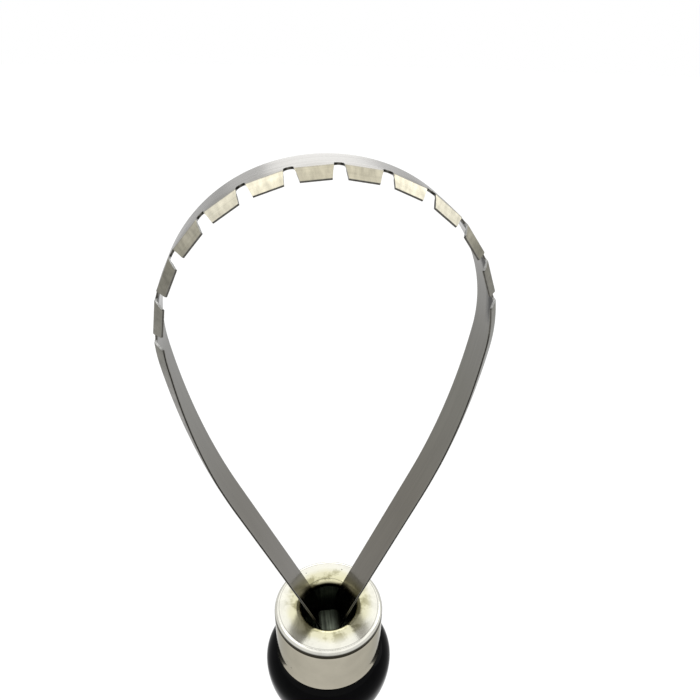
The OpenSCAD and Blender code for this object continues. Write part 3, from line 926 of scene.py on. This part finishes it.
class WRENCH_OT_band(bpy.types.Operator):
    """Makes the toothed loop, and the two ends that run down to the tang"""

    bl_idname = "wrench.band"
    bl_label = "Toothed band"

    def execute(self, context):
        sizes = context.scene.wrench_band
        for name in ("band_loop", "band_ends", "loop_path"):
            remove_piece(name)
        path, to_mouth, to_end = path_object(sizes)
        steels = band_steels(context.scene.wrench_finishes, sizes)
        flat = strip_mesh("band_loop", [loop_columns(sizes, to_mouth)], strip_rows(sizes))
        loop = bend_strip("band_loop", flat, sizes, path, to_end, steels)
        below = [to_mouth + (to_end - to_mouth) * i / 30 for i in range(31)]
        rows = [row for row in strip_rows(sizes) if row <= sizes.flat_w] + [sizes.flat_w]
        flat = strip_mesh("band_ends", [[-s for s in reversed(below)], below], rows)
        ends = bend_strip("band_ends", flat, sizes, path, to_end, steels)
        bpy.data.objects.remove(path)

        # The loop gets lower as its top follows the screw, and the ends reach from the mouth to the tang
        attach(loop, "draw")
        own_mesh(loop)
        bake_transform(ends)
        for piece in (loop, ends):
            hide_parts("toothed_band")
        return {"FINISHED"}


def ferrule_outline(sizes):
    """Section of the ferrule: flared hem, skirt, fine line, rim, flat top, rolled lip and the inside."""
    half = FERRULE_D / 2
    inside = half - sizes.wall
    lip_x = sizes.mouth_d / 2 + sizes.lip_r
    lip_z = MOUTH_Z - sizes.lip_r
    rim_z = MOUTH_Z - sizes.rim_r
    line_z = rim_z - sizes.line_w
    flare_a = math.atan(2 * sizes.flare / sizes.flare_h)
    flare_z = SKIRT_Z + sizes.flare_h
    hem_x = half + sizes.flare - sizes.hem_r * math.cos(flare_a)
    hem = arc(hem_x, SKIRT_Z + sizes.hem_r, sizes.hem_r, -90, math.degrees(flare_a), 6)
    hem_z = hem[-1][1]
    flare = [
        (half + sizes.flare * (1 - i / 8) ** 2, hem_z + (flare_z - hem_z) * i / 8) for i in range(1, 9)
    ]
    skirt = [(half, flare_z + (line_z - flare_z) * i / 10) for i in range(1, 11)]
    line = [
        (half - sizes.line_depth * math.sin(math.pi * i / 6), line_z + sizes.line_w * i / 6)
        for i in range(1, 6)
    ]
    rim = arc(half - sizes.rim_r, rim_z, sizes.rim_r, 0, 90, 12)
    lip = arc(lip_x, lip_z, sizes.lip_r, 90, 180, 16)
    under = arc(lip_x, lip_z, sizes.lip_r - sizes.top_t, 180, 90, 8)
    top = [(rim[-1][0] + (lip_x - rim[-1][0]) * i / 4, MOUTH_Z) for i in range(1, 4)]
    inner = [(inside, MOUTH_Z - sizes.top_t), (inside, SKIRT_Z)]
    return hem + flare + skirt + line + rim + top + lip + under + inner


class WRENCH_OT_ferrule(bpy.types.Operator):
    """Makes the plated cap with its rolled mouth"""

    bl_idname = "wrench.ferrule"
    bl_label = "Ferrule"

    def execute(self, context):
        sizes = context.scene.wrench_ferrule
        finishes = context.scene.wrench_finishes
        remove_piece("ferrule_cap")
        cap = turned("ferrule_cap", ferrule_outline(sizes), 144)
        cap.data.materials.append(nickel_plate("nickel_plate", finishes, sizes))
        smooth(cap.data, 40)
        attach(cap, "nose")
        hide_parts("ferrule")
        return {"FINISHED"}


def handle_outline(sizes):
    """Section of the handle: butt, swelling, waist, bulge and shoulder, then the bores from above."""
    bulge_cx = sizes.bulge_d / 2 - sizes.bulge_r
    bulge_cz = HANDLE_L - sizes.bulge_drop
    swell_cx = sizes.swell_d / 2 - sizes.swell_r
    span_x, span_z = bulge_cx - swell_cx, bulge_cz - sizes.swell_z
    span = math.hypot(span_x, span_z)
    to_swell, to_bulge = sizes.swell_r + sizes.waist_r, sizes.bulge_r + sizes.waist_r
    along = (to_swell**2 - to_bulge**2 + span**2) / (2 * span)
    across = math.sqrt(to_swell**2 - along**2)
    waist_cx = swell_cx + (along * span_x + across * span_z) / span
    waist_cz = sizes.swell_z + (along * span_z - across * span_x) / span
    top_z = HANDLE_L - sizes.shoulder_edge_r
    top_x = bulge_cx + math.sqrt((sizes.bulge_r - sizes.shoulder_edge_r) ** 2 - (top_z - bulge_cz) ** 2)
    butt_z = sizes.butt_edge_r
    butt_x = swell_cx + math.sqrt((sizes.swell_r - butt_z) ** 2 - (sizes.swell_z - butt_z) ** 2)

    def slope(x, z):
        return math.degrees(math.atan2(z, x))

    butt_a = slope(butt_x - swell_cx, butt_z - sizes.swell_z)
    swell_a = slope(waist_cx - swell_cx, waist_cz - sizes.swell_z)
    bulge_a = slope(waist_cx - bulge_cx, waist_cz - bulge_cz)
    top_a = slope(top_x - bulge_cx, top_z - bulge_cz)
    outside = arc(butt_x, butt_z, butt_z, -90, butt_a, 8)
    outside += arc(swell_cx, sizes.swell_z, sizes.swell_r, butt_a, swell_a, 24)[1:]
    outside += arc(waist_cx, waist_cz, sizes.waist_r, swell_a + 180, bulge_a + 180, 28)[1:]
    outside += arc(bulge_cx, bulge_cz, sizes.bulge_r, bulge_a, top_a, 24)[1:]
    outside += arc(top_x, top_z, sizes.shoulder_edge_r, top_a, 90, 10)[1:]
    nut_x = (WASHER_D + sizes.nut_play) / 2
    well_x = (COLLAR_D + sizes.well_play) / 2
    well_z = SCREW_END_Z - TRAVEL - sizes.well_drop
    inside = [(BUSH_D / 2, HANDLE_L), (BUSH_D / 2, BUSH_Z), (nut_x, BUSH_Z), (nut_x, NUT_Z)]
    inside += [(well_x, NUT_Z), (well_x, well_z), (0, well_z)]
    return [(0, 0), (butt_x / 2, 0)] + outside + inside


class WRENCH_OT_handle(bpy.types.Operator):
    """Makes the gloss black turned handle"""

    bl_idname = "wrench.handle"
    bl_label = "Handle"

    def execute(self, context):
        remove_piece("handle_turning")
        grip = turned("handle_turning", handle_outline(context.scene.wrench_handle), 144)
        grip.data.materials.append(gloss_black("gloss_black", context.scene.wrench_finishes.black))
        smooth(grip.data, 40)
        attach(grip, "grip")
        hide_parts("handle")
        return {"FINISHED"}


class WRENCH_OT_inner_pieces(bpy.types.Operator):
    """Gives the pieces inside the ferrule and the handle their finishes"""

    bl_idname = "wrench.inner_pieces"
    bl_label = "Inner pieces"

    def execute(self, context):
        finishes = context.scene.wrench_finishes
        # The pieces in the mouth are dark steel, darker partly as painted shade in the hole, and its lighter
        # streaks are painted reflections
        round_lines, streak_grain = (30, 30, 4000), (1100, 60, 40)
        mouth_steel = lined_metal("dark_steel_and_shade", finishes.dark_steel_and_shade, 0.3, 0.06, streak_grain)
        steel = lined_metal("plain_steel", finishes.plain_steel, 0.25, 0.7, round_lines)
        brass = lined_metal("turned_brass", finishes.brass, 0.25, 0.75, round_lines)
        fibre = pressed_fibre("pressed_fibre", finishes.fibre)
        pieces = {
            mouth_steel: ("spindle", "draw_screw", "left_clamp_plate", "right_clamp_plate", "band_rivets"),
            steel: ("stop_collar", "stop_pin", "snap_ring", "nut_keys"),
            brass: ("handle_bush", "thrust_washer", "draw_nut"),
            fibre: ("seat_washer",),
        }
        for finish, names in pieces.items():
            for name in names:
                slots = frame["nodes"][name].data.materials
                slots.clear()
                slots.append(finish)
        return {"FINISHED"}


# Stage

def seen_rays(w):
    """1 for rays from the eye, and for those that metal mirrors or glass lets through."""
    rays = w.add("ShaderNodeLightPath").outputs
    seen = w.math("MAXIMUM", rays["Is Camera Ray"], rays["Is Glossy Ray"])
    return w.math("MAXIMUM", seen, rays["Is Transmission Ray"])


def floor_material(pale, lift):
    """Pale floor that keeps the shadow, and glows up to white where it is seen or mirrored."""
    material, w, shader = new_material("pale_floor")
    w.tree.nodes.remove(shader)
    strength = w.math("MULTIPLY", seen_rays(w), lift)
    plain = w.add("ShaderNodeBsdfDiffuse", {"Color": (*pale, 1)})
    glow = w.add("ShaderNodeEmission", {"Color": (1, 1, 1, 1), "Strength": strength})
    both = w.add("ShaderNodeAddShader", {0: plain.outputs[0], 1: glow.outputs[0]})
    output = next(node for node in w.tree.nodes if node.type == "OUTPUT_MATERIAL")
    w.tree.links.new(both.outputs[0], output.inputs["Surface"])
    return material


def white_world(fill):
    """White where it is seen or mirrored, and a soft light from all round for the rest."""
    world = bpy.data.worlds.get("white_room") or bpy.data.worlds.new("white_room")
    world.use_nodes = True
    w = Wiring(world.node_tree)
    world.node_tree.nodes.clear()
    seen = seen_rays(w)
    soft = w.add("ShaderNodeBackground", {"Color": (1, 1, 1, 1), "Strength": fill})
    white = w.add("ShaderNodeBackground", {"Color": (1, 1, 1, 1), "Strength": 1.0})
    either = w.add("ShaderNodeMixShader", {0: seen, 1: soft.outputs[0], 2: white.outputs[0]})
    w.add("ShaderNodeOutputWorld", {"Surface": either.outputs[0]})
    return world


# Lamps: the direction where each stands as seen from the wrench, its strength and its width in degrees
LAMPS = {
    "key_lamp": ((-0.45, 0.55, 0.7), 0.9, 40),
    "top_lamp": ((0, 0.12, 0.99), 1.16, 110),
    "left_lamp": ((-0.5, 0.15, 0.85), 0.24, 30),
    "right_lamp": ((0.77, 0.28, 0.57), 0.36, 32),
    "back_lamp": ((0.083, 0.947, 0.309), 0.24, 28),
    "glow_lamp": ((0.05, 0.95, 0.31), 0.16, 44),
}


def soft_lamp(name, towards, strength, width):
    """A wide, far lamp."""
    lamp = bpy.data.lights.new(name, "SUN")
    lamp.energy = strength
    lamp.angle = math.radians(width)
    made = new_object(name, lamp)
    made.rotation_euler = Vector(towards).to_track_quat("Z", "Y").to_euler()
    return made


def aimed_camera(stage):
    """Camera at the eye, turned and tilted to its view, then rolled."""
    turn, rise, roll = stage.turn, stage.rise, stage.roll
    back = Vector((math.sin(turn) * math.cos(rise), -math.cos(turn) * math.cos(rise), math.sin(rise)))
    level = Vector((0, 0, 1)).cross(back).normalized()
    upright = back.cross(level)
    right = level * math.cos(roll) + upright * math.sin(roll)
    up = upright * math.cos(roll) - level * math.sin(roll)
    lens = bpy.data.cameras.new("camera")
    lens.sensor_fit = "HORIZONTAL"
    lens.sensor_width = stage.sensor
    lens.lens = stage.lens
    lens.clip_start = 5 * MM
    camera = new_object("camera", lens)
    axes = Matrix((right, up, back)).transposed()
    camera.matrix_world = Matrix.Translation(stage.eye) @ axes.to_4x4()
    return camera


def floor_disc(radius):
    """A round, flat floor at height 0."""
    disc = bmesh.new()
    bmesh.ops.create_circle(disc, cap_ends=True, segments=64, radius=radius)
    mesh = bpy.data.meshes.new("floor")
    disc.to_mesh(mesh)
    disc.free()
    return new_object("floor", mesh)


class WRENCH_OT_stage(bpy.types.Operator):
    """Sets the camera, the floor, the lamps and the white surroundings"""

    bl_idname = "wrench.stage"
    bl_label = "Stage"

    def execute(self, context):
        stage = context.scene.wrench_stage
        for name in ("camera", "floor", *LAMPS):
            remove_piece(name)
        context.scene.camera = aimed_camera(stage)
        floor = floor_disc(stage.floor_r)
        floor.data.materials.append(floor_material(stage.floor_colour, stage.floor_lift))
        lamps = {name: soft_lamp(name, *setting) for name, setting in LAMPS.items()}
        # The key lamp is there for the shadow, and metal doesn't mirror it
        lamps["key_lamp"].visible_glossy = False
        context.scene.world = white_world(stage.fill)
        context.scene.view_settings.view_transform = "Standard"
        return {"FINISHED"}


OPERATORS = (
    WRENCH_OT_band,
    WRENCH_OT_ferrule,
    WRENCH_OT_handle,
    WRENCH_OT_inner_pieces,
    WRENCH_OT_stage,
)
GROUPS = {
    "wrench_band": BandSizes,
    "wrench_ferrule": FerruleSizes,
    "wrench_handle": HandleSizes,
    "wrench_finishes": Finishes,
    "wrench_stage": StageSizes,
}


class WRENCH_PT_panel(bpy.types.Panel):
    """Lists the pieces of the wrench and their sizes"""

    bl_idname = "WRENCH_PT_panel"
    bl_label = "Filter Wrench"
    bl_space_type = "VIEW_3D"
    bl_region_type = "UI"
    bl_category = "Filter Wrench"

    def draw(self, context):
        for operator in OPERATORS:
            self.layout.operator(operator.bl_idname)
        for name, group in GROUPS.items():
            box = self.layout.box()
            box.label(text=group.__doc__)
            for key in group.__annotations__:
                box.prop(getattr(context.scene, name), key)


def register():
    """Registers the classes and gives the scene their sizes."""
    for made in (*GROUPS.values(), *OPERATORS, WRENCH_PT_panel):
        bpy.utils.register_class(made)
    for name, group in GROUPS.items():
        setattr(bpy.types.Scene, name, PointerProperty(type=group))


def unregister():
    """Takes back what register did."""
    for name in GROUPS:
        delattr(bpy.types.Scene, name)
    for made in (WRENCH_PT_panel, *reversed(OPERATORS), *reversed(list(GROUPS.values()))):
        bpy.utils.unregister_class(made)


def main():
    """Registers the classes, then builds the stage and every piece."""
    register()
    bpy.ops.wrench.stage()
    bpy.ops.wrench.band()
    bpy.ops.wrench.ferrule()
    bpy.ops.wrench.handle()
    bpy.ops.wrench.inner_pieces()


if __name__ == "__main__":
    main()
